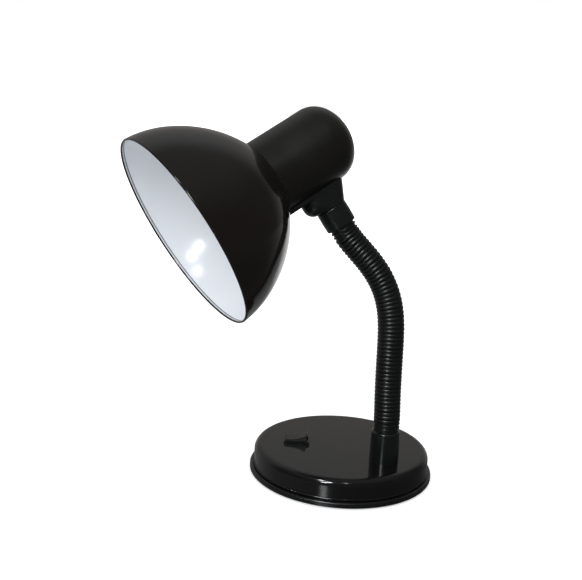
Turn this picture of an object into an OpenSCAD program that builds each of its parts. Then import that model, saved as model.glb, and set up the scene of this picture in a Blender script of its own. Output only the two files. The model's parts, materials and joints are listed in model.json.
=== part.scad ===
// Gooseneck desk lamp: weighted round base with a rocker switch, ribbed flexible neck,
// swivelling head with a cylindrical lampholder housing and a domed shade.
// Millimetres, Z up, origin on the floor under the centre of the base, front is -Y.

/* [Base] */
// Radius of the plastic ring that stands out at the foot of the base
base_r = 75; // [70:0.5:80]
// Height of that ring's lip above its underside
lip_h = 4.45; // [3.5:0.05:5.5]
// Outside radius of the sheet-steel cover
cover_r = 71.74; // [68:0.01:73]
// Height of the cover's top face above the floor
base_top = 22.46; // [20:0.01:27]
// Rounding between the cover's wall and its top
cover_edge = 5.6; // [3:0.1:7]
// Sheet thickness of the cover
cover_t = 0.8; // [0.6:0.05:1.2]
// Thickness of the soft pad under the base
pad_t = 1.2; // [0.8:0.1:2]
// Radius of the iron weight
weight_r = 58; // [50:0.5:62]
// Thickness of the iron weight
weight_h = 9; // [6:0.5:9.5]

/* [Switch] */
// Length of the switch bezel, front to back
bezel_l = 21; // [20:0.5:23]
// Width of the switch bezel
bezel_w = 15; // [14:0.5:17]
// Height of the bezel above the cover
bezel_h = 2.6; // [1.5:0.1:3]
// Distance of the switch in front of the base's centre
switch_y = 37; // [30:0.5:42]
// Angle of the rocker from level, back end raised
rocker_tilt = 12; // [6:0.5:12]

/* [Neck] */
// Place of the neck on the base, sideways
neck_x = 25.19; // [10:0.01:30]
// Place of the neck on the base, towards the back
neck_y = 34.33; // [20:0.01:38]
// Radius over the neck's ribs
neck_r = 10.5; // [10:0.1:11.5]
// Rib spacing along the neck
rib_pitch = 3.2; // [3.1:0.05:3.6]
// Half the thickness of one rib, which is also its edge rounding
rib_r = 0.6; // [0.4:0.05:0.65]
// Distance from the base's top face to the lowest bending point
neck_first = 36.7; // [34:0.1:45]
// Straight end of the neck below the head's collar
neck_last = 10.6; // [9:0.1:14]
// Forward bend at every second bending point, in degrees, from the bottom up
neck_bend = [2.6, -0.4, -0.9, -0.4, 0.2, 2, 5.5, 8.8, 10.2, 9.6, 6.5, 0.1, -9.3];
// Height of the plain sleeve at the neck's foot
boot_h = 25.5; // [20:0.5:30]
// Radius of that sleeve where it meets the base
boot_r = 11.7; // [11.5:0.1:13]

/* [Head] */
// Length of the collar at the neck's upper end
collar_l = 16; // [15:0.5:22]
// Radius of the collar at its waist
collar_r = 12.1; // [11.8:0.1:13]
// Height of the lamp axis above the collar's mouth
head_w = 60.3; // [59:0.1:64]
// Turn of the head about the collar, in degrees
head_turn = 26.75; // [-150:0.25:150]
// Radius of the lampholder housing
house_r = 30; // [29.5:0.1:32]
// Distance from the collar's axis to the housing's open front
house_front = 33.8; // [32:0.1:35]
// Distance from the collar's axis to the tip of the housing's rounded back
house_back = 42.1; // [41:0.1:50]
// Wall of the housing
house_t = 2; // [1.6:0.1:2.4]

/* [Shade] */
// Radius of the shade's rim
shade_r = 77.6; // [70:0.1:85]
// Distance from the collar's axis to the rim plane
shade_front = 108.4; // [105:0.1:115]
// Sheet thickness of the shade
shade_t = 0.6; // [0.5:0.05:1.2]
// Radius of the shade's curve near the rim
crown_r1 = 79; // [70:1:90]
// Radius of the shade's curve near its back
crown_r2 = 98.4; // [90:0.1:110]
// Depth of the place where the two curves meet
crown_break = 28; // [20:0.5:35]

/* [Hidden] */
$fn = 96;
e = 0.01;

// Heights in the base
ring_z = pad_t - 0.2;
ring_top = ring_z + lip_h;
cover_z = ring_top + 0.45;
floor_z = pad_t + 1.8;
weight_z = base_top - cover_t - weight_h;
post_at = [for (a = [-10, 110, 230]) 48 * [cos(a), sin(a)]];
inlet_az = 150;
inlet_z = 13;
clamp_x = 58;

// Cross-section of the neck
core_r = neck_r - 1;
bore_r = 6;
link_len = 2 * rib_pitch;
link_count = 24;
ball_r = 8.5;
ball_gap = 0.05;
end_gap = 0.95;
ball_top = 3;
socket_top = 4.6;
ferrule_r = 10.2;
nipple_r = 5;
nipple_bore = 3.6;
boot_lip = 1.2;

// Where each bending point lies: even ones bend forward, odd ones sideways
function tilt(k) = k < 0 ? 0 : tilt(k - 1) + (k % 2 == 0 ? neck_bend[k / 2] : 0);
function along(a) = [0, -sin(a), cos(a)];
function hinge_at(k) = k == 0
    ? [neck_x, neck_y, base_top + neck_first]
    : hinge_at(k - 1) + link_len * along(tilt(k - 1));
neck_end = tilt(link_count);
mouth = hinge_at(link_count) + neck_last * along(neck_end);

// Stack on the swivel, measured along the collar's axis from its mouth
disc_t = 0.7;
disc_in = 0.6;
disc_gap = 0.1;
cup_w = collar_l - disc_in + disc_t + disc_gap;
boss_w = 26.3;
seat_w = boss_w + 2.4;
foot_t = 1.2;
washer_t = 1;
nut_t = 3;
shelf_w = 36;
nipple_top = seat_w + foot_t + washer_t + nut_t + 1.6;
swivel_bore = nipple_r + 0.08;
cup_r = 12;
cup_t = 1.8;
cup_ends = [-7.6, 7.2];
cup_edge = 8;
foot_r = 12.1;
arm_w = 29.05;
boss_r = 9.7;
boss_t = 1.6;
boss_ends = [-7.4, 6.4];

// Lampholder, measured along the lamp axis from the collar's axis
flange_a = 24;
holder_front = 41;
holder_mid = 8;
holder_back = -16.8;
cap_r = 18.5;
skirt_r = 19.4;
shell_r = 13.3;
shell_t = 0.45;
spigot_r = house_r - house_t - 0.2;
shade_back = house_front + 0.4;

black = [0.05, 0.05, 0.055];
satin = [0.09, 0.09, 0.1];
steel = [0.7, 0.71, 0.73];
brass = [0.8, 0.65, 0.32];
white = [0.93, 0.93, 0.91];
iron = [0.3, 0.3, 0.31];

function link_name(k) = str("neck_link_", k < 10 ? "0" : "", k);

// ---------- shared shapes ----------

module at_inlet() rotate([0, 0, inlet_az]) children();
module at_neck() translate([neck_x, neck_y, 0]) children();
module at_switch() translate([0, -switch_y, base_top]) children();
module at_hinge(k, tilt_k) translate(hinge_at(k)) rotate([tilt_k, 0, 0]) children();
module in_collar() translate(mouth) rotate([neck_end, 0, 0]) children();
module in_head() in_collar() rotate([0, 0, head_turn]) children();
module in_axis() translate([0, 0, head_w]) rotate([90, 0, 0]) children();
module tube(r1, r2, h) difference() {
    cylinder(r = r2, h = h);
    translate([0, 0, -1]) cylinder(r = r1, h = h + 2);
}

// A round lead through a list of points, with rounded elbows
module lead(points, r) {
    for (i = [0:len(points) - 2]) {
        d = points[i + 1] - points[i];
        translate(points[i])
            rotate([0, acos(d[2] / norm(d)), atan2(d[1], d[0])])
                cylinder(r = r, h = norm(d));
        if (i > 0) translate(points[i]) rotate([37, 23, 0]) sphere(r = r * 1.04);
    }
}

// Pan-head screw standing on its head, shank up, with a cross recess in the head
module pan_screw(head_r, head_h, shank_r, length) difference() {
    union() {
        cylinder(r = shank_r, h = head_h + length);
        cylinder(r1 = head_r - 0.5, r2 = head_r, h = 0.6);
        translate([0, 0, 0.6 - e]) cylinder(r = head_r, h = head_h - 0.6 + e);
    }
    for (a = [0, 90]) rotate([0, 0, a])
        translate([-head_r * 0.55, -head_r * 0.12, -1])
            cube([head_r * 1.1, head_r * 0.24, 1 + head_h * 0.5]);
}

// Hexagon nut with its corners turned off at both faces
module hex_nut(flats, h, bore) difference() {
    intersection() {
        cylinder(r = flats / 2 / cos(30), h = h, $fn = 6);
        union() {
            cylinder(r1 = flats / 2 - 0.1, r2 = flats / 2 + 1.4, h = h / 2);
            translate([0, 0, h / 2]) cylinder(r1 = flats / 2 + 1.4, r2 = flats / 2 - 0.1, h = h / 2);
        }
    }
    translate([0, 0, -1]) cylinder(r = bore, h = h + 2);
}

module plate(x, y, r) {
    square([x - 2 * r, y], center = true);
    square([x, y - 2 * r], center = true);
    for (i = [-1, 1], j = [-1, 1]) translate([i * (x / 2 - r), j * (y / 2 - r)]) circle(r = r);
}

// ---------- base ----------

module foot_pad() color(satin) rotate_extrude() {
    square([66, pad_t - 0.3]);
    square([65.7, pad_t]);
}

module base_tray() color(black) difference() {
    union() {
        rotate_extrude() difference() {
            union() {
                translate([0, ring_z]) square([base_r - 2, floor_z - ring_z]);
                translate([68.8, ring_z]) square([base_r - 1.6 - 68.8, lip_h]);
                translate([68.8, ring_z]) square([base_r - 68.8, lip_h - 1.6]);
                translate([base_r - 1.6, ring_top - 1.6]) circle(r = 1.6);
                translate([68.8, ring_z]) square([2.5, cover_z - ring_z]);
                translate([68.8, ring_z]) square([2, 11 - ring_z]);
            }
            translate([0, ring_z - 1]) square([66.3, 1.2]);
            polygon([[base_r + 1, ring_z - 1], [base_r + 1, ring_z + 1.6], [base_r - 1.6, ring_z - 1]]);
        }
        for (p = post_at) translate([p[0], p[1], floor_z - e])
            cylinder(r = 6, h = weight_z - floor_z + e);
        at_inlet() {
            for (s = [-8, 8]) translate([clamp_x, s, floor_z - e]) cylinder(r = 3, h = 4 + e);
            translate([clamp_x - 1.5, -4, floor_z - e]) cube([3, 8, 1 + e]);
        }
        for (a = [0:30:330]) rotate([0, 0, a + 5])
            translate([63.5, -0.7, floor_z - e]) cube([6, 1.4, 5]);
    }
    for (p = post_at) translate([p[0], p[1], 0]) {
        cylinder(r = 4.3, h = 4.6);
        cylinder(r = 2.2, h = 20);
    }
    at_inlet() {
        for (s = [-8, 8]) translate([clamp_x, s, floor_z + 1]) cylinder(r = 1.3, h = 5);
        translate([67, -6.5, inlet_z - 6]) cube([6, 13, 8]);
    }
}

module ballast_weight() color(iron) difference() {
    translate([0, 0, weight_z]) rotate_extrude() {
        square([weight_r - 1, weight_h]);
        translate([0, 1]) square([weight_r, weight_h - 2]);
        for (z = [1, weight_h - 1]) translate([weight_r - 1, z]) circle(r = 1);
    }
    translate([0, -switch_y, weight_z - 1]) linear_extrude(weight_h + 2) plate(17.4, 24, 2);
    at_neck() cylinder(r = nipple_r + 0.3, h = 30);
    for (p = post_at) translate([p[0], p[1], weight_z - 1]) cylinder(r = 2, h = 9);
}

// Spun cover: flat top, rounded edge, straight wall and a rolled hem at the bottom
module base_cover() color(black) difference() {
    rotate_extrude() {
        translate([0, base_top - cover_t]) square([cover_r - cover_edge, cover_t]);
        intersection() {
            translate([cover_r - cover_edge, base_top - cover_edge]) difference() {
                circle(r = cover_edge);
                circle(r = cover_edge - cover_t);
            }
            translate([cover_r - cover_edge, base_top - cover_edge]) square(cover_edge + 1);
        }
        translate([cover_r - cover_t, cover_z + 0.75])
            square([cover_t, base_top - cover_edge - cover_z - 0.75]);
        translate([cover_r - cover_t + 0.75, cover_z + 0.75]) circle(r = 0.75);
    }
    at_neck() cylinder(r = nipple_r + 0.2, h = 60);
    translate([0, -switch_y, base_top - 3]) linear_extrude(6) plate(13.3, 19.7, 0.8);
    at_inlet() translate([60, 0, inlet_z]) rotate([0, 90, 0]) cylinder(r = 4.2, h = 20);
}

module tray_screws() color(steel) for (p = post_at) translate([p[0], p[1], 1.8])
    pan_screw(3.9, 2.8, 1.95, 14.5);

module cord_grommet() color(satin) at_inlet() translate([0, 0, inlet_z]) rotate([0, 90, 0]) difference() {
    union() {
        translate([0, 0, 68.4]) cylinder(r = 5, h = 2.2);
        translate([0, 0, 68.4]) cylinder(r = 4.1, h = 4);
        translate([0, 0, cover_r + e]) cylinder(r = 5.2, h = 1.4);
        translate([0, 0, cover_r + 1.4]) cylinder(r1 = 4.6, r2 = 3.9, h = 4.2);
    }
    translate([0, 0, 60]) cylinder(r = 3, h = 30);
}

module cord_clamp() color(satin) at_inlet() difference() {
    translate([clamp_x, 0, floor_z + 4]) linear_extrude(2.4) plate(7, 23, 3);
    for (s = [-8, 8]) translate([clamp_x, s, 0]) cylinder(r = 1.5, h = 30);
    translate([clamp_x - 8, 0, floor_z + 3.6]) rotate([0, 90, 0]) cylinder(r = 2.4, h = 16);
}

module clamp_screws() color(steel) at_inlet() for (s = [-8, 8])
    translate([clamp_x, s, floor_z + 8.2]) rotate([180, 0, 0]) pan_screw(2.6, 1.8, 1.25, 5.2);

module base_leads() {
    z = floor_z + 1.3;
    n = [neck_x, neck_y];
    color([0.32, 0.16, 0.08]) lead([[0, -33, z], [12, -10, z], [n[0] - 3, 20, z],
        [n[0] - 1.25, n[1], z + 0.1], [n[0] - 1.25, n[1], 40]], 1);
    color([0.1, 0.25, 0.6]) lead([[-45, 27, z], [-8, 38, z], [24, 45, z],
        [n[0] + 1.25, n[1], z + 0.2], [n[0] + 1.25, n[1], 40]], 1);
    color([0.32, 0.16, 0.08]) lead([[-46, 22, z], [-20, -18, z], [-4, -41, z], [0.6, -41, z]], 1);
}

// ---------- switch ----------

module switch_body() color(satin) at_switch() difference() {
    union() {
        linear_extrude(bezel_h - 0.8) plate(bezel_w, bezel_l, 1.2);
        translate([0, 0, bezel_h - 0.8 - e]) linear_extrude(0.8) plate(bezel_w - 1, bezel_l - 1, 0.9);
        translate([0, 0, -11.5]) linear_extrude(12) plate(13, 19.4, 0.6);
        for (s = [-1, 1]) scale([1, s, 1]) rotate([90, 0, -90]) translate([0, 0, -3])
            linear_extrude(6) polygon([[-9.6, -0.9], [-10.5, -0.9], [-9.6, -5]]);
    }
    translate([0, 0, 0.9]) linear_extrude(5) plate(11.4, 18.6, 0.5);
    translate([0, 0, -9.5]) linear_extrude(12) plate(11.2, 17.4, 0.5);
    translate([-6.4, 0, 1]) rotate([0, 90, 0]) cylinder(r = 1.25, h = 12.8);
    for (s = [-4, 4]) translate([-2.45, s - 0.45, -12]) cube([4.9, 0.9, 5]);
}

module switch_terminals() color(brass) at_switch() for (s = [-4, 4]) difference() {
    translate([-2.4, s - 0.4, -17]) cube([4.8, 0.8, 9]);
    translate([0, s - 1, -14.6]) rotate([-90, 0, 0]) cylinder(r = 0.8, h = 2);
}

// Rocker with a dished top, rounded ends and two trunnions, turned to its pressed position
module switch_rocker() color(black) at_switch() translate([0, 0, 1]) rotate([rocker_tilt, 0, 0]) {
    difference() {
        translate([-5.4, 0, 0]) rotate([90, 0, 90]) linear_extrude(10.8) difference() {
            union() {
                polygon([[-8.3, 4], [-8.5, 0], [-7.6, -2.2], [-3, -3.2], [3, -3.2], [7.6, -2.2],
                    [8.5, 0], [8.3, 4], [7.9, 4.3], [0, 3.4], [-7.9, 4.3]]);
                for (s = [-1, 1]) translate([s * 7.8, 3.95]) circle(r = 0.5);
            }
            translate([0, 33.2]) circle(r = 30);
        }
        translate([-4.4, -7, -6]) cube([8.8, 14, 5.4]);
    }
    for (s = [-1, 1]) scale([s, 1, 1]) translate([5.3, 0, 0]) rotate([0, 90, 0]) cylinder(r = 1.2, h = 0.9);
}

// ---------- neck ----------

module rib(z) {
    translate([neck_r - rib_r, z]) circle(r = rib_r);
    translate([core_r - 0.2, z - rib_r]) square([neck_r - rib_r - core_r + 0.2, 2 * rib_r]);
}

// Hollow ball round the bending point above a link
module ball_2d() intersection() {
    circle(r = ball_r);
    translate([bore_r, -end_gap - e]) square([ball_r, end_gap + ball_top + e]);
}

// Room for the ball of the link below
module socket_2d() intersection() {
    circle(r = ball_r + ball_gap);
    translate([0, -1]) square([ball_r + 1, 1 + socket_top]);
}

module neck_link(k) color(satin) at_hinge(k - 1, tilt(k - 1)) rotate_extrude() difference() {
    union() {
        translate([bore_r, end_gap]) square([core_r - bore_r, link_len - 2 * end_gap]);
        for (i = [0.5, 1.5]) rib(i * rib_pitch);
        translate([0, link_len]) ball_2d();
    }
    socket_2d();
}

module neck_base_end() color(satin) translate([neck_x, neck_y, base_top]) {
    rotate_extrude() {
        translate([bore_r, boot_lip + 4]) square([ferrule_r - bore_r, 12]);
        translate([nipple_bore, boot_lip]) square([ferrule_r - nipple_bore, 4.01]);
        translate([nipple_bore, -15.86]) square([nipple_r - nipple_bore, 18]);
        translate([bore_r, 16]) square([core_r - bore_r, neck_first - end_gap - 16]);
        for (i = [0.5:1:2.5]) rib(neck_first - i * rib_pitch);
        translate([0, neck_first]) ball_2d();
    }
}

module neck_head_end() color(satin) at_hinge(link_count, neck_end) rotate_extrude() {
    difference() {
        translate([bore_r, end_gap]) square([core_r - bore_r, neck_last + 4]);
        socket_2d();
    }
    for (i = [0.5:1:2.5]) rib(i * rib_pitch);
    translate([bore_r, neck_last + 2]) square([ferrule_r - bore_r, 8]);
    translate([nipple_bore, neck_last + 10 - e]) square([ferrule_r - nipple_bore, collar_l - 12]);
    translate([nipple_bore, neck_last + 10]) square([nipple_r - nipple_bore, nipple_top - 10]);
}

module neck_boot() color(black) translate([neck_x, neck_y, base_top]) rotate_extrude() difference() {
    union() {
        polygon([[5.2, 0], [boot_r, 0], [boot_r - 0.3, boot_h - 1.7], [5.2, boot_h - 1.7]]);
        translate([5.2, boot_h - 2]) square([boot_r - 0.3 - 1.7 - 5.2, 2]);
        translate([boot_r - 2, boot_h - 1.7]) circle(r = 1.7);
    }
    translate([0, boot_lip]) square([ferrule_r + 0.1, boot_h - boot_lip - 2.4]);
    translate([0, boot_lip]) square([core_r + 0.15, boot_h]);
}

module base_washer() color(steel) at_neck() translate([0, 0, weight_z - 1.6]) tube(5.25, 10, 1.6);

module base_nut() color(steel) at_neck() translate([0, 0, weight_z - 5.6]) hex_nut(17, 4, 5.05);

// Collar with a slightly fuller waist, a lip at its mouth, closed above the neck's ferrule
module neck_collar() color(black) in_collar() rotate_extrude() difference() {
    union() {
        polygon([[5.2, 0.8], [collar_r - 0.2, 0.8], [collar_r, collar_l / 2],
            [collar_r - 0.15, collar_l - 0.8], [5.2, collar_l - 0.8]]);
        translate([5.2, 0]) square([collar_r - 1 - 5.2, collar_l]);
        translate([collar_r - 1, 0.8]) circle(r = 0.8);
        translate([collar_r - 0.95, collar_l - 0.8]) circle(r = 0.8);
    }
    translate([0, 2]) square([ferrule_r + 0.1, collar_l - 4]);
    translate([0, -1]) square([core_r + 0.15, 6]);
    translate([0, collar_l - disc_in]) square([10.6, 2]);
}

module friction_disc() color(satin) in_collar() translate([0, 0, collar_l - disc_in]) tube(5.25, 10.5, disc_t);

module swivel_washer() color(steel) in_collar() translate([0, 0, seat_w + foot_t]) tube(5.25, 7.6, washer_t);

module swivel_nut() color(steel) in_collar()
    translate([0, 0, seat_w + foot_t + washer_t]) hex_nut(13, nut_t, 5.05);

// ---------- head ----------

// Upright wall of radius r over a floor at height w, with the edge between them rounded
module bowl_2d(r, edge, w) {
    translate([0, w + edge]) square([r, 14]);
    translate([0, w]) square([r - edge, edge + 1]);
    translate([r - edge, w + edge]) intersection() {
        circle(r = edge);
        translate([0, -edge - 1]) square(edge + 1);
    }
}

// Oblong bowl: round ends in front of and behind the swivel, each with its own straight half
module bowl(r, ends, edges, floors) for (i = [0, 1]) {
    translate([0, ends[i], 0]) rotate_extrude() bowl_2d(r, edges[i], floors[i]);
    translate([0, max(ends[i], 0), 0]) rotate([90, 0, 0]) linear_extrude(abs(ends[i])) {
        bowl_2d(r, edges[i], floors[i]);
        mirror([1, 0]) bowl_2d(r, edges[i], floors[i]);
    }
}

// The cup's outer form, shrunk by in for its hollow: its round foot on the collar flares into
// a rounded front end and a straight back slope
module cup_body(in) hull() {
    translate([0, 0, cup_w + in]) cylinder(r = foot_r - in, h = 1);
    translate([0, cup_ends[0], 0]) rotate_extrude() intersection() {
        translate([cup_r - cup_edge, cup_w + cup_edge]) circle(r = cup_edge - in, $fn = 64);
        square(cup_w + cup_edge + 9);
    }
    for (y = cup_ends) translate([0, y, cup_w + 14]) cylinder(r = cup_r - in, h = 5);
}

// Lip of the cup that runs on under the housing to the shade
module cup_arm() rotate([90, 0, 0]) linear_extrude(shade_back - 0.3) {
    translate([-cup_r, arm_w + 1.5]) square([2 * cup_r, 8]);
    translate([1.5 - cup_r, arm_w]) square([2 * cup_r - 3, 8]);
    for (s = [-1, 1]) translate([s * (cup_r - 1.5), arm_w + 1.5]) circle(r = 1.5);
}

module saddle_cup() color(black) in_head() difference() {
    union() {
        difference() {
            union() {
                cup_body(0);
                cup_arm();
            }
            cup_body(cup_t);
        }
        translate([0, 0, cup_w + e]) cylinder(r = 8, h = boss_w - cup_w - e);
        intersection() {
            cup_body(cup_t / 2);
            for (a = [0:90:270]) rotate([0, 0, a])
                translate([6, -0.8, cup_w]) cube([9, 1.6, boss_w - cup_w - 1]);
        }
    }
    in_axis() translate([0, 0, -60]) cylinder(r = house_r + 0.25, h = 120);
    translate([0, 0, -10]) cylinder(r = swivel_bore, h = 60);
}

// Barrel of the housing and its domed back, shrunk by in for the hollow
module house_2d(in) {
    back_edge = 20;
    cap = 36;
    a0 = house_back - 23.5;
    translate([0, -a0]) square([house_r - in, house_front + a0 + (in > 0 ? 1 : 0)]);
    intersection() {
        translate([0, -a0 - 60]) square([60, 60 + e]);
        union() {
            translate([house_r - back_edge, -a0]) circle(r = back_edge - in);
            intersection() {
                translate([0, -a0 + 12.5]) circle(r = cap - in);
                polygon([[0, -a0 + 12.5], [0, -80], [67.4 * 0.8, -a0 + 12.5 - 67.4]]);
            }
        }
    }
}

module housing() color(black) in_head() difference() {
    union() {
        in_axis() rotate_extrude() house_2d(0);
        intersection() {
            bowl(boss_r, boss_ends, [2.5, 4], [boss_w, boss_w]);
            translate([0, 0, boss_w - 1]) linear_extrude(9) square(80, center = true);
        }
    }
    in_axis() rotate_extrude() house_2d(house_t);
    bowl(boss_r - boss_t, boss_ends, [0.5, 0.5], [seat_w, seat_w]);
    translate([0, 0, 20]) cylinder(r = swivel_bore, h = 20);
}

// Bent strip: its eye is clamped on the swivel, its upright carries the lampholder
module holder_bracket() color(steel) in_head() difference() {
    union() {
        translate([0, 0, seat_w]) cylinder(r = 7.6, h = foot_t);
        translate([-6, 0, seat_w]) cube([12, 9.6, foot_t]);
        translate([-6, 9.6 - foot_t, seat_w]) cube([12, foot_t, shelf_w - seat_w]);
        translate([-6, 9.6 - foot_t, shelf_w - foot_t])
            cube([12, foot_t * 2 - 9.6 - holder_back, foot_t]);
        translate([-6, -holder_back, shelf_w - foot_t]) cube([12, foot_t, 10]);
        translate([-9, -holder_back, shelf_w + 4]) cube([18, foot_t, head_w + 9 - shelf_w - 4]);
    }
    translate([0, 0, 20]) cylinder(r = swivel_bore, h = 20);
    for (s = [-6, 6]) translate([s, 0, head_w]) rotate([-90, 0, 0]) cylinder(r = 1.6, h = 40);
}

module bracket_screws() color(steel) in_head() for (s = [-6, 6])
    translate([s, -holder_back + foot_t + 1.8, head_w]) rotate([90, 0, 0]) pan_screw(2.8, 1.8, 1.45, 7);

module lampholder_cap() color(satin) in_head() difference() {
    in_axis() rotate_extrude() difference() {
        union() {
            translate([0, holder_back + 1.5]) square([cap_r, holder_mid - holder_back - 1.5]);
            translate([0, holder_back]) square([cap_r - 1.5, 4]);
            translate([cap_r - 1.5, holder_back + 1.5]) circle(r = 1.5);
            translate([0, holder_mid - 1]) square([17.1, 3]);
        }
        translate([0, holder_back + 6]) square([15.2, 40]);
    }
    for (s = [-6, 6]) translate([s, 0, head_w]) rotate([-90, 0, 0]) cylinder(r = 1.5, h = 40);
    translate([0, 0, head_w - 20]) cylinder(r = 3.6, h = 10);
}

module lampholder_skirt() color(satin) in_head() in_axis() rotate_extrude() difference() {
    union() {
        translate([17.2, holder_mid]) square([skirt_r - 17.2, holder_front - holder_mid - 0.8]);
        translate([17.2, holder_mid]) square([skirt_r - 0.8 - 17.2, holder_front - holder_mid]);
        translate([skirt_r - 0.8, holder_front - 0.8]) circle(r = 0.8);
        translate([skirt_r - 1, flange_a - 2.5]) square([25 - skirt_r + 1, 2.5]);
        translate([14.6, holder_front - 1.6]) square([3, 1.6]);
    }
    for (z = [flange_a + 8.5:1.6:holder_front - 2]) translate([skirt_r + 0.5, z]) circle(r = 0.75);
}

module contact_carrier() color(white) in_head() in_axis() difference() {
    rotate_extrude() {
        translate([0, 10]) square([16.9, 2.2]);
        translate([7.4, 10]) square([9.5, 5.6]);
        translate([shell_r + shell_t + 0.05, 15.5]) square([1.4, 10]);
    }
    for (s = [-10, 10]) translate([s, 0, 5]) cylinder(r = 1.5, h = 20);
}

// Thin brass sleeve for the bulb's cap, with an inturned foot
module screw_shell() color(brass) in_head() in_axis() rotate_extrude() {
    translate([shell_r, 15.6]) square([shell_t, 22.4]);
    translate([7.2, 15.6]) square([shell_r - 7.2 + e, shell_t]);
    translate([shell_r + shell_t / 2, 38]) circle(r = shell_t / 2);
}

module centre_contact() color(brass) in_head() in_axis() translate([3, 0, 12.2]) rotate([90, 0, 180])
    translate([0, 0, -2.5]) linear_extrude(5)
        polygon([[-1.5, 0], [2, 0], [6, 3], [7.5, 3], [7.5, 3.5], [5.8, 3.5], [1.8, 0.5], [-1.5, 0.5]]);

module terminal_screws() color(brass) in_head() in_axis() for (s = [-10, 10])
    translate([s, 0, 8.2]) pan_screw(2.8, 1.8, 1.45, 4.8);

module head_leads() in_head() for (s = [-1, 1])
    color(s < 0 ? [0.32, 0.16, 0.08] : [0.1, 0.25, 0.6])
        lead([[s * 1.25, 0, 14], [s * 1.25, 0, 51], [s * 9.5, -3, head_w - 1], [s * 10, -7.9, head_w]], 1);

module shade_ring() color(satin) in_head() in_axis() difference() {
    rotate_extrude() {
        translate([skirt_r + 0.05, flange_a + shade_t]) square([6, 5.2]);
        translate([skirt_r + 0.05, flange_a + shade_t]) square([5.2, 6]);
        translate([skirt_r + 5.25, flange_a + shade_t + 5.2]) circle(r = 0.8);
    }
    for (a = [0:30:330]) rotate([0, 0, a])
        translate([skirt_r + 6.9, 0, flange_a + 2.4]) cylinder(r = 1.4, h = 10);
}

// Sheet-metal crown: two tangent arcs, a back step and a spigot inside the housing's mouth
module shade_2d() {
    s = asin(min(0.6, (crown_break + 3) / crown_r1));
    n = [cos(s), -sin(s)];
    c1 = [shade_r - crown_r1 + 0.08, shade_front + crown_r1 * sin(s) - crown_break];
    c2 = c1 + (crown_r1 - crown_r2) * n;
    intersection() {
        translate(c1) difference() {
            circle(r = crown_r1);
            circle(r = crown_r1 - shade_t);
        }
        polygon([c1, c1 + 140 * n, c1 + [140, 0]]);
        translate([10, 0]) square([100, shade_front - 1]);
    }
    intersection() {
        translate(c2) difference() {
            circle(r = crown_r2);
            circle(r = crown_r2 - shade_t);
        }
        polygon([c2, c2 + 150 * n, [20, -40], c2 - [0, 200]]);
        translate([10, shade_back]) square([100, 100]);
    }
    translate([shade_r - 0.9, shade_front - 0.9]) circle(r = 0.9);
    translate([spigot_r - shade_t, shade_back]) square([4.2, shade_t]);
    translate([spigot_r - shade_t, flange_a]) square([shade_t, shade_back - flange_a + shade_t]);
    translate([skirt_r + 0.2, flange_a]) square([spigot_r - skirt_r - 0.2, shade_t]);
}

module shade() color(black) in_head() in_axis() rotate_extrude() shade_2d();

// ---------- what is drawn ----------

foot_pad();
base_tray();
ballast_weight();
base_cover();
tray_screws();
switch_body();
switch_terminals();
switch_rocker();
cord_grommet();
cord_clamp();
clamp_screws();
base_leads();
neck_boot();
neck_base_end();
base_washer();
base_nut();
for (k = [1:link_count]) neck_link(k);
neck_head_end();
neck_collar();
friction_disc();
swivel_washer();
swivel_nut();
saddle_cup();
housing();
holder_bracket();
bracket_screws();
lampholder_cap();
lampholder_skirt();
contact_carrier();
screw_shell();
centre_contact();
terminal_screws();
head_leads();
shade_ring();
shade();
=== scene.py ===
"""Looks of the gooseneck desk lamp: camera, light, finishes and the neck's ribbed sleeve.

Lengths are in metres, in the CAD's frame.
"""

import json
import math

import bpy
from mathutils import Matrix, Vector


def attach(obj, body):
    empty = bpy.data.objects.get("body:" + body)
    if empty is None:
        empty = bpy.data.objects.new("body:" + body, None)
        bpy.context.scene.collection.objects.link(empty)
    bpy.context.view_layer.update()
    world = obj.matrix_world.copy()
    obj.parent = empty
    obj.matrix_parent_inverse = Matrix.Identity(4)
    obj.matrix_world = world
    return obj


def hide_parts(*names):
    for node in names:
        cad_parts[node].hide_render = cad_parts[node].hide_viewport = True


MM = 0.001

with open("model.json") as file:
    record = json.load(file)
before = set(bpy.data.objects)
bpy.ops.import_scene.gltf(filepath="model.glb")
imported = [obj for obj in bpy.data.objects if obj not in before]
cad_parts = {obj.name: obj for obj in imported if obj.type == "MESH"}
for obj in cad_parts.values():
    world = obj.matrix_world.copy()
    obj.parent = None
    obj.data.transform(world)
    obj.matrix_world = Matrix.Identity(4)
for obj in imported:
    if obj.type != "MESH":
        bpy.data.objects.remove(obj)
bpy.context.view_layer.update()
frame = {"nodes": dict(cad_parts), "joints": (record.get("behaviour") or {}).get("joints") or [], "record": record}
joints = {j["name"]: j for j in frame["joints"]}

# ---------- camera ----------

IMAGE_WIDTH = 582
FOCAL_PIXELS = 949
SENSOR_WIDTH = 36.0
CLIP_START, CLIP_END = 0.01, 20
CAMERA_AT = Vector((0.74016, -0.00965, 0.32374))
LOOK_ALONG = Vector((-0.9726, -0.051, -0.227)).normalized()
CAMERA_UP = Vector((-0.2236, -0.0647, 0.9725))


def link(obj):
    bpy.context.scene.collection.objects.link(obj)
    return obj


def aim(obj, place, direction, up):
    """Puts obj at place, looking along direction."""
    right = direction.cross(up).normalized()
    turn = Matrix((right, right.cross(direction), -direction)).transposed().to_4x4()
    obj.matrix_world = Matrix.Translation(place) @ turn


def make_camera():
    data = bpy.data.cameras.new("camera")
    data.sensor_width = SENSOR_WIDTH
    data.lens = SENSOR_WIDTH * FOCAL_PIXELS / IMAGE_WIDTH
    data.clip_start, data.clip_end = CLIP_START, CLIP_END
    camera = link(bpy.data.objects.new("camera", data))
    aim(camera, CAMERA_AT, LOOK_ALONG, CAMERA_UP)
    bpy.context.scene.camera = camera


# ---------- node helpers ----------

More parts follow.
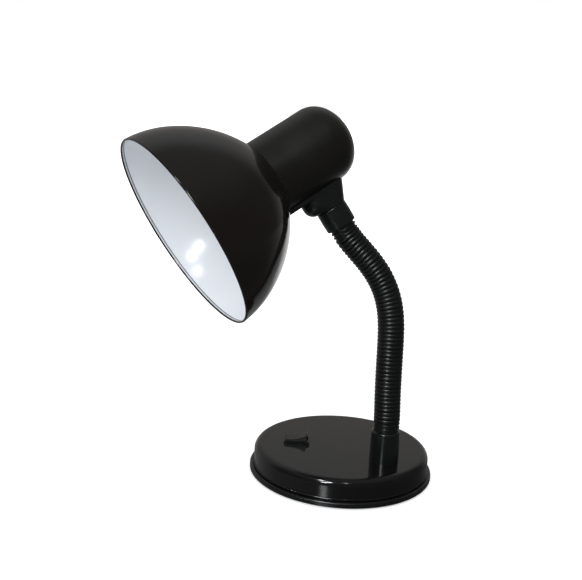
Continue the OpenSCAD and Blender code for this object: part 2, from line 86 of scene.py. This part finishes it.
WHITE = (1.0, 1.0, 1.0, 1.0)
BLACK = (0.0, 0.0, 0.0, 1.0)
MIX_COLOUR_A, MIX_COLOUR_B, MIX_COLOUR_OUT = 6, 7, 2  # sockets of a Mix node set to colours


class Nodes:
    """Builds a node tree: most calls add a node and return its output."""

    def __init__(self, owner):
        owner.use_nodes = True
        self.tree = owner.node_tree
        self.tree.nodes.clear()

    def add(self, kind, values=(), **settings):
        """Adds a node and returns the node itself."""
        node = self.tree.nodes.new("ShaderNode" + kind)
        for key, value in settings.items():
            setattr(node, key, value)
        for key, value in dict(values).items():
            self.put(node.inputs[key], value)
        return node

    def put(self, socket, value):
        if isinstance(value, bpy.types.NodeSocket):
            self.tree.links.new(value, socket)
        else:
            socket.default_value = value

    def math(self, operation, *values):
        return self.add("Math", enumerate(values), operation=operation).outputs[0]

    def vector(self, operation, *values):
        """A vector operation's outputs: the vector first, then the number."""
        return self.add("VectorMath", enumerate(values), operation=operation).outputs

    def dot(self, a, b):
        return self.vector("DOT_PRODUCT", a, b)["Value"]

    def noise(self, place, size, detail=2.0):
        return self.add("TexNoise", {"Vector": place, "Scale": 1 / size, "Detail": detail}).outputs[0]

    def spread(self, value, start, end, low=0.0, high=1.0, smooth=False):
        """value, which goes from start to end, spread over low to high."""
        values = {"Value": value, "From Min": start, "From Max": end, "To Min": low, "To Max": high}
        kind = "SMOOTHSTEP" if smooth else "LINEAR"
        return self.add("MapRange", values, interpolation_type=kind).outputs[0]

    def mix(self, factor, a, b):
        node = self.add("Mix", {0: factor}, data_type="RGBA")
        self.put(node.inputs[MIX_COLOUR_A], a)
        self.put(node.inputs[MIX_COLOUR_B], b)
        return node.outputs[MIX_COLOUR_OUT]

    def shader(self, kind, values):
        return self.add(kind, values).outputs[0]

    def by_ray(self, kind, shader, otherwise):
        """shader for rays of one kind, such as Camera or Glossy, and otherwise for the rest."""
        is_kind = self.add("LightPath").outputs[f"Is {kind} Ray"]
        return self.shader("MixShader", {0: is_kind, 1: otherwise, 2: shader})


def rgba(rgb, scale=1.0):
    return (*(min(1, c * scale) for c in rgb), 1.0)


# ---------- finishes ----------

MOTTLE_SIZE = 22 * MM


def finish(name, rgb, roughness, grain=0.4, depth=0.01, mottle=0.15, uneven=0.15, inside=None, **sockets):
    """A surface with fine grain (size and depth in mm), mottled colour and uneven gloss."""
    material = bpy.data.materials.new(name)
    nodes = Nodes(material)
    place = nodes.add("TexCoord").outputs["Object"]
    broad = nodes.noise(place, MOTTLE_SIZE, 3)
    fine = nodes.noise(place, grain * MM)
    base = nodes.mix(broad, rgba(rgb, 1 - mottle), rgba(rgb, 1 + mottle))
    gloss = nodes.spread(broad, 0.3, 0.7, roughness * (1 - uneven), roughness * (1 + uneven))
    if inside:
        base, gloss = inside(nodes, place, base, gloss)
    bump = nodes.add("Bump", {"Strength": 1.0, "Distance": depth * MM, "Height": fine}).outputs[0]
    shader = nodes.add("BsdfPrincipled", {"Base Color": base, "Roughness": gloss, "Normal": bump})
    for socket, value in sockets.items():
        shader.inputs[socket].default_value = value
    nodes.add("OutputMaterial", {"Surface": shader.outputs[0]})
    return material


FINISHES = {
    "foam": dict(rgb=(0.02, 0.02, 0.022), roughness=0.9, grain=0.8, depth=0.15),
    "base_plastic": dict(rgb=(0.005, 0.005, 0.0055), roughness=0.25),
    "iron": dict(rgb=(0.09, 0.085, 0.08), roughness=0.7, grain=1.2, depth=0.2, Metallic=1.0),
    "black_paint": dict(rgb=(0.0045, 0.0045, 0.0045), roughness=0.1, grain=1.5, depth=0.002),
    "steel": dict(rgb=(0.55, 0.55, 0.54), roughness=0.35, Metallic=1.0),
    "switch_plastic": dict(rgb=(0.004, 0.0042, 0.0045), roughness=0.25),
    "brass": dict(rgb=(0.72, 0.52, 0.22), roughness=0.3, Metallic=1.0),
    "rocker_plastic": dict(rgb=(0.013, 0.0125, 0.010), roughness=0.4),
    "grommet_rubber": dict(rgb=(0.012, 0.012, 0.012), roughness=0.6),
    "lead_sleeve": dict(rgb=(0.20, 0.07, 0.03), roughness=0.45),
    "trim_plastic": dict(rgb=(0.0052, 0.0060, 0.0060), roughness=0.25),
    "neck_black": dict(rgb=(0.004, 0.0048, 0.0046), roughness=0.33, grain=0.3),
    "washer_plastic": dict(rgb=(0.02, 0.02, 0.02), roughness=0.5),
    "housing_plastic": dict(rgb=(0.0060, 0.0055, 0.0040), roughness=0.32, grain=0.6, depth=0.004),
    "holder_plastic": dict(rgb=(0.015, 0.014, 0.013), roughness=0.4),
    "ceramic": dict(rgb=(0.75, 0.73, 0.68), roughness=0.35),
}

# The shade: gloss black outside and satin white inside, up to the bead round its rim.
SHADE_BLACK = dict(rgb=(0.0065, 0.0052, 0.0044), roughness=0.1, grain=1.5, depth=0.002)
SHADE_WHITE = (0.88, 0.90, 0.93)
WHITE_SATIN = 0.11
# Painted shade: the grey of a thin line inside the shade, standing in for the shade in the crease where the rim's
# bead is folded.
FOLD_SHADE_GREY = (0.16, 0.17, 0.19)
RIM_DEPTH = 1.2 * MM
FOLD_DEPTH, FOLD_WIDTH = 2.9 * MM, 0.4 * MM


def shade_axis():
    """A point on the shade's axis, and the axis's direction out of the shade, from the lamp socket."""
    socket = next(m for m in frame["record"]["mounts"] if m["name"] == "lamp_socket")
    return Vector(socket["pos_m"]), Vector(socket["axis"]).normalized()


def white_inside(nodes, place, outside, gloss):
    """White where the sheet faces the shade's axis, less glossy than the black outside.

    It ends at the bead, with a thin line of painted shade where the bead's fold creases.
    """
    point, axis = shade_axis()
    ahead = max((v.co - point).dot(axis) for v in frame["nodes"]["shade"].data.vertices)
    rim = point + axis * ahead
    normal = nodes.add("TexCoord").outputs["Normal"]
    from_rim = nodes.vector("SUBTRACT", place, rim)[0]
    depth = nodes.math("MULTIPLY", nodes.dot(from_rim, axis), -1.0)
    facing = nodes.math("LESS_THAN", nodes.dot(from_rim, normal), 0.0)
    behind_rim = nodes.math("GREATER_THAN", depth, RIM_DEPTH)
    # Painted shade: a thin band round the inside, where the bead's fold creases, gets grey instead of white.
    in_fold_shade = nodes.math("COMPARE", depth, FOLD_DEPTH, FOLD_WIDTH)
    white = nodes.mix(in_fold_shade, rgba(SHADE_WHITE), rgba(FOLD_SHADE_GREY))
    is_white = nodes.math("MULTIPLY", facing, behind_rim)
    satin = nodes.math("MULTIPLY_ADD", is_white, WHITE_SATIN, gloss)
    return nodes.mix(is_white, outside, white), satin


def dress_frame():
    """Gives every CAD node the finish of its material slot, and returns the finishes by slot."""
    materials = {slot: finish(slot, **values) for slot, values in FINISHES.items()}
    for part in frame["record"]["subparts"]:
        surfaces = frame["nodes"][part["node"]].data.materials
        surfaces.clear()
        surfaces.append(materials[part["material_slot"]])
    frame["nodes"]["shade"].data.materials[0] = finish("shade_paint", inside=white_inside, **SHADE_BLACK)
    return materials


# ---------- the neck's sleeve ----------

HINGES = 25
CREST_RADIUS = 10.5 * MM
GROOVE_RADIUS = 9.5 * MM
INNER_RADIUS = 8.9 * MM
RIBS_PER_LINK = 2
RINGS_PER_RIB = 16
SEGMENTS = 72

# The ball in each joint closes the gap that a bend opens. Its band reaches so many degrees either way.
BALL_RADIUS = 9.2 * MM
BALL_BORE = 7.4 * MM
BALL_REACH, BALL_STEP = 35, 5


def neck_line():
    """The neck's hinges at rest, and the middles of its links, with two more points beyond each end hinge."""
    hinges = [Vector(joints[f"neck_{k:02d}"]["pos_m"]) for k in range(1, HINGES + 1)]
    half = (hinges[1] - hinges[0]).length / 2
    down, up = Vector((0, 0, -1)), Vector(joints["head_swivel"]["axis"])
    foot = [hinges[0] + down * half * n for n in (3, 1)]
    inner = [(a + b) / 2 for a, b in zip(hinges, hinges[1:])]
    head = [hinges[-1] + up * half * n for n in (1, 3)]
    return hinges, [*foot, *inner, *head]


def spine(points, t):
    """Place and direction on a smooth curve that passes points[i + 1] at t = i."""
    i = min(int(t), len(points) - 4)
    a, b, c, d = points[i : i + 4]
    u = t - i
    start, end = (c - a) / 2, (d - b) / 2
    square, cube = 3 * (c - b) - 2 * start - end, 2 * (b - c) + start + end
    place = b + u * start + u * u * square + u**3 * cube
    slope = start + 2 * u * square + 3 * u * u * cube
    return place, slope.normalized()


def rib_radius(phase):
    """The sleeve's radius at a share of the way between two grooves: round crests, sharp grooves."""
    off = abs(2 * phase - 1)
    return GROOVE_RADIUS + (CREST_RADIUS - GROOVE_RADIUS) * math.sqrt(1 - off * off)


def ring(centre, direction, radius):
    side = Vector((1, 0, 0))
    up = direction.cross(side)
    turns = (2 * math.pi * n / SEGMENTS for n in range(SEGMENTS))
    return [centre + radius * (math.cos(a) * side + math.sin(a) * up) for a in turns]


def tube_rings(n, points):
    """The sleeve of the neck's body n from its lower hinge to its upper one, outside and then inside."""
    steps = RIBS_PER_LINK * RINGS_PER_RIB
    first = max(0, n * steps - steps // 2)
    last = min(HINGES * steps, n * steps + steps // 2)
    rows = range(first, last + 1)
    outside = [ring(*spine(points, s / steps), rib_radius(s / RINGS_PER_RIB % 1)) for s in rows]
    return outside + [ring(*spine(points, s / steps), INNER_RADIUS) for s in (last, first)]


def ball_rings(centre, direction):
    """The band of the ball in a joint, outside and then along its bore."""
    angles = [math.radians(a) for a in range(-BALL_REACH, BALL_REACH + 1, BALL_STEP)]
    zone = [(BALL_RADIUS * math.sin(a), BALL_RADIUS * math.cos(a)) for a in angles]
    bore = [(zone[-1][0], BALL_BORE), (zone[0][0], BALL_BORE)]
    return [ring(centre + direction * height, direction, radius) for height, radius in zone + bore]


def mesh_of(name, bands):
    """A mesh of bands, each a list of rings, joined one to the next and the last to the first."""
    vertices, faces = [], []
    for rings in bands:
        start = len(vertices)
        vertices += [v for one in rings for v in one]
        for row in range(len(rings)):
            a, b = start + row * SEGMENTS, start + (row + 1) % len(rings) * SEGMENTS
            for i in range(SEGMENTS):
                j = (i + 1) % SEGMENTS
                faces.append((a + i, a + j, b + j, b + i))
    mesh = bpy.data.meshes.new(name)
    mesh.from_pydata(vertices, [], faces)
    mesh.shade_smooth()
    return link(bpy.data.objects.new(name, mesh))


def make_sleeve(material):
    """A ribbed sleeve over the neck, cut at the hinges, each piece with the ball of its upper joint."""
    hinges, points = neck_line()
    bodies = ["base", *(f"link_{n:02d}" for n in range(1, HINGES)), "collar"]
    for n, body in enumerate(bodies):
        bands = [tube_rings(n, points)]
        if n < HINGES:
            bands.append(ball_rings(hinges[n], spine(points, n + 0.5)[1]))
        piece = mesh_of(f"sleeve_{n:02d}", bands)
        piece.data.materials.append(material)
        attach(piece, body)
        if body.startswith("link"):
            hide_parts(f"neck_{body}")


# ---------- surroundings ----------

FLOOR_SIZE = 12.0
FLOOR_WHITE = (0.80, 0.81, 0.82)
FLOOR_MATT = (0.50, 0.51, 0.52)
FLOOR_MOTTLE = 0.3
NEAR_LIFT = 0.45
LAMP_HEIGHT = 0.15
BEHIND_LAMP = (-0.94, -0.34, 0)
SKY_FROM = (0.5, 0, 0.87)
DAYLIGHT = (0.97, 0.985, 1.0, 1.0)
WARM, COOL = (1.0, 0.95, 0.91, 1.0), (0.95, 0.98, 1.0, 1.0)
PANE = (0.95, 0.98, 1.0)


def towards(azimuth, elevation):
    """A direction from the lamp: azimuth from +X to +Y, and elevation, in degrees."""
    a, e = math.radians(azimuth), math.radians(elevation)
    return Vector((math.cos(a) * math.cos(e), math.sin(a) * math.cos(e), math.sin(e)))


def softbox(name, azimuth, elevation, distance, size, radiance, lean=0.0, rgb=(1, 1, 1), lights="both"):
    """A window that faces the lamp, leaning to its left by lean degrees.

    size is its width and height, and it lights matt, glossy or both surfaces.
    """
    data = bpy.data.lights.new(name, "AREA")
    width, height = size
    data.shape, data.size, data.size_y = "RECTANGLE", width, height
    data.energy = radiance * math.pi * width * height
    data.color = rgb
    direction = towards(azimuth, elevation)
    up = Matrix.Rotation(math.radians(lean), 3, direction) @ Vector((0, 0, 1))
    light = link(bpy.data.objects.new(name, data))
    light.visible_diffuse = lights != "glossy"
    light.visible_glossy = lights != "matt"
    aim(light, Vector((0, 0, LAMP_HEIGHT)) + direction * distance, -direction, up)


def room(nodes, direction):
    """What shines back from the black surfaces: its tint and strength in a direction.

    It is pale behind the lamp, less so above it, and dim on the camera's side.
    """
    z = nodes.dot(direction, (0, 0, 1))
    behind = nodes.spread(nodes.dot(direction, BEHIND_LAMP), 0.25, 0.65, 0.07, 0.30, smooth=True)
    above = nodes.spread(z, 0.4, 1.0, 0.0, 0.15, smooth=True)
    tint = nodes.mix(nodes.spread(z, 0.2, 0.9), WARM, COOL)
    return tint, nodes.math("ADD", behind, above)


def paper(nodes, place, away):
    """The floor that the camera sees: white paper, lifted to pure white away from the lamp."""
    white = nodes.mix(nodes.noise(place, FLOOR_MOTTLE), rgba(FLOOR_WHITE, 0.98), rgba(FLOOR_WHITE, 1.02))
    sheet = nodes.shader("BsdfPrincipled", {"Base Color": white, "Roughness": 0.8})
    lift = nodes.spread(away, 0.25, 0.9, NEAR_LIFT, 1.0, smooth=True)
    glow = nodes.shader("Emission", {"Color": WHITE, "Strength": lift})
    return nodes.shader("AddShader", {0: sheet, 1: glow})


def table(nodes, place, away):
    """The floor that glossy surfaces mirror: a dim table, brighter to the left and far behind the lamp."""
    outward = nodes.vector("NORMALIZE", place)[0]
    leftward, backward = nodes.dot(outward, (0, 1, 0)), nodes.dot(outward, (1, 0, 0))
    left = nodes.spread(leftward, 0.2, -1.0, 0.04, 0.15, smooth=True)
    behind = nodes.spread(backward, -0.3, -0.9, 0.0, 0.18, smooth=True)
    straight = nodes.spread(backward, -0.8, -0.95, 0.0, 0.8, smooth=True)
    far = nodes.math("MULTIPLY", straight, nodes.spread(away, 0.25, 0.5))
    dim = nodes.math("ADD", nodes.math("ADD", left, behind), far)
    glow = nodes.shader("Emission", {"Color": WHITE, "Strength": dim})
    polish = nodes.shader("BsdfPrincipled", {"Base Color": BLACK, "Roughness": 0.2})
    return nodes.shader("AddShader", {0: glow, 1: polish})


def make_floor():
    """Paper with the lamp's soft shadow to the camera, a dim table to glossy surfaces, matt to the rest."""
    half = FLOOR_SIZE / 2
    corners = [(-half, -half, 0), (half, -half, 0), (half, half, 0), (-half, half, 0)]
    mesh = bpy.data.meshes.new("floor")
    mesh.from_pydata(corners, [], [(0, 1, 2, 3)])
    material = bpy.data.materials.new("floor")
    nodes = Nodes(material)
    place = nodes.add("TexCoord").outputs["Object"]
    away = nodes.vector("LENGTH", place)["Value"]
    matt = nodes.shader("BsdfDiffuse", {"Color": rgba(FLOOR_MATT)})
    unseen = nodes.by_ray("Glossy", table(nodes, place, away), matt)
    surface = nodes.by_ray("Camera", paper(nodes, place, away), unseen)
    nodes.add("OutputMaterial", {"Surface": surface})
    material.cycles.emission_sampling = "NONE"
    mesh.materials.append(material)
    link(bpy.data.objects.new("floor", mesh))


def make_world():
    """White to the camera, even daylight on matt surfaces, and the dim room in glossy ones."""
    world = bpy.data.worlds.new("studio")
    bpy.context.scene.world = world
    world.cycles.sampling_method = "NONE"
    nodes = Nodes(world)
    direction = nodes.add("TexCoord").outputs["Generated"]
    tint, strength = room(nodes, direction)
    sky = nodes.spread(nodes.dot(direction, SKY_FROM), -0.4, 0.9, 0.56, 1.08)
    daylight = nodes.shader("Background", {"Color": DAYLIGHT, "Strength": sky})
    mirrored = nodes.shader("Background", {"Color": tint, "Strength": strength})
    white = nodes.shader("Background", {"Color": WHITE, "Strength": 1.0})
    surface = nodes.by_ray("Camera", white, nodes.by_ray("Glossy", mirrored, daylight))
    nodes.add("OutputWorld", {"Surface": surface})


def make_lights():
    """A window, three panes to glossy surfaces and one soft light to matt ones, and a side window."""
    softbox("window", -18, 30, 1.6, (0.45, 0.6), 8.5, rgb=PANE, lights="matt")
    softbox("pane_low", -19, 21, 1.6, (0.18, 0.20), 55, rgb=PANE, lights="glossy")
    softbox("pane_middle", -13.5, 32, 1.6, (0.15, 0.22), 55, lean=20, rgb=PANE, lights="glossy")
    softbox("pane_top", -28, 46, 1.6, (0.15, 0.22), 45, lean=40, rgb=PANE, lights="glossy")
    softbox("side_window", 10, 40, 1.9, (0.12, 0.5), 6)


make_camera()
materials = dress_frame()
make_sleeve(materials["neck_black"])
make_floor()
make_world()
make_lights()
bpy.context.scene.view_settings.view_transform = "Standard"
